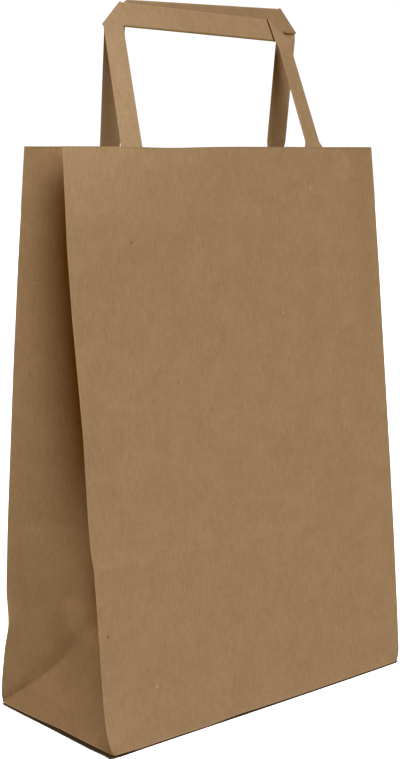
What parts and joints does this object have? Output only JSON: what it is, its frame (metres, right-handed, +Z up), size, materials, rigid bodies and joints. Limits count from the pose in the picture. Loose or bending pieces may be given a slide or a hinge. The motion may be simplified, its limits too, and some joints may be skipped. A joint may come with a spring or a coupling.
{
  "type": "paper carrier bag",
  "caption": "Brown kraft paper carrier bag with folded side gussets, a flat block bottom and flat folded tape handles, standing open.",
  "frame": {"origin": "middle of the base, on the surface that the bag stands on", "axes": "+Z up, from the base to the handles; -Y faces the front panel; +X to the right seen from the front"},
  "size_m": [0.22, 0.1002, 0.3883],
  "materials": {
    "kraft_sheet": "uncoated brown kraft paper, matt",
    "kraft_tape": "folded brown kraft paper tape, matt",
    "kraft_patch": "uncoated brown kraft paper, matt"
  },
  "bodies": {
    "root": {"bag_body": "kraft_sheet", "front_handle": "kraft_tape", "back_handle": "kraft_tape", "front_handle_patch": "kraft_patch", "back_handle_patch": "kraft_patch"}
  },
  "joints": []
}
